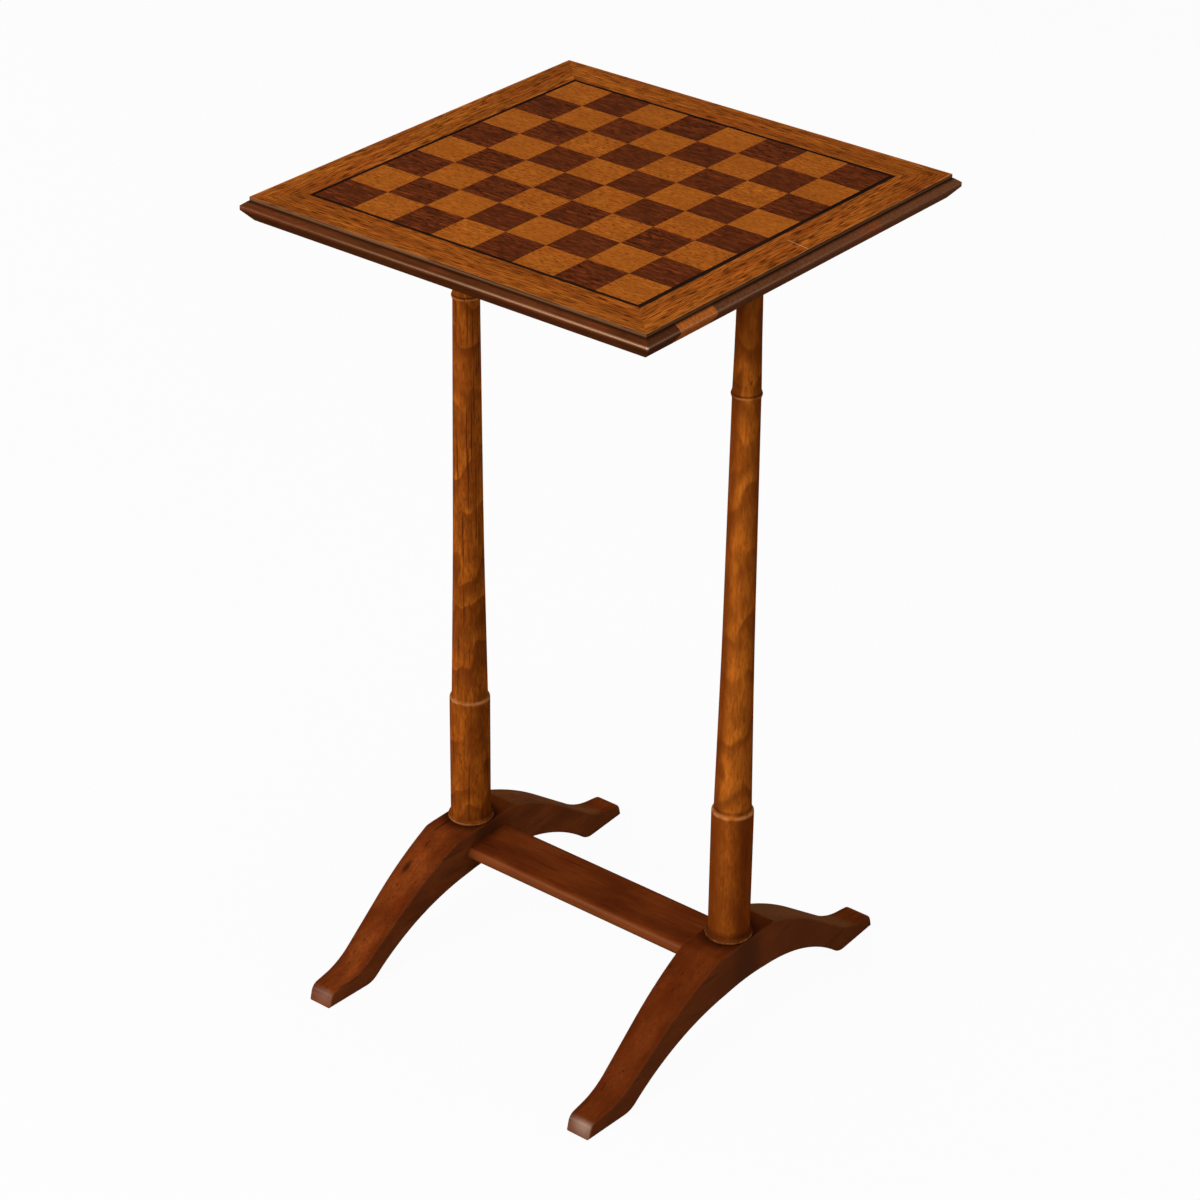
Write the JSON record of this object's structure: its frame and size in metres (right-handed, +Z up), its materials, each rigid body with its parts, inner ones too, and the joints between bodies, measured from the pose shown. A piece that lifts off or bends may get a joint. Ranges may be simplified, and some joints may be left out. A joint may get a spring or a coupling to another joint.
{
  "type": "chess table",
  "caption": "Tall occasional table with an inlaid chessboard top and moulded edge, carried by turned pillars on arched feet that a flat stretcher joins.",
  "frame": {"origin": "on the floor under the middle of the table", "axes": "+Z up, X along the stretcher from pillar to pillar, Y along the feet from front to back"},
  "size_m": [0.3838, 0.385, 0.702],
  "materials": {
    "dark_veneer": "satin dark brown veneer",
    "light_veneer": "satin honey brown veneer",
    "black_stringing": "satin black-stained wood",
    "border_veneer": "satin open-pored brown veneer",
    "core_wood": "satin dark brown stain",
    "batten_wood": "thinly stained, matt",
    "screw_steel": "dull steel",
    "pillar_wood": "satin orange-brown stain with dark streaks",
    "base_wood": "satin red-brown stain"
  },
  "bodies": {
    "root": {"dark_squares": "dark_veneer", "light_squares": "light_veneer", "stringing_front": "black_stringing", "stringing_right": "black_stringing", "stringing_back": "black_stringing", "stringing_left": "black_stringing", "border_front": "border_veneer", "border_right": "border_veneer", "border_back": "border_veneer", "border_left": "border_veneer", "top_stave_1": "core_wood", "top_stave_2": "core_wood", "top_stave_3": "core_wood", "top_stave_4": "core_wood", "top_stave_5": "core_wood", "batten_left": "batten_wood", "batten_right": "batten_wood", "batten_screws": "screw_steel", "pillar_left": "pillar_wood", "pillar_right": "pillar_wood", "foot_left": "base_wood", "foot_right": "base_wood", "stretcher": "base_wood"}
  },
  "joints": []
}
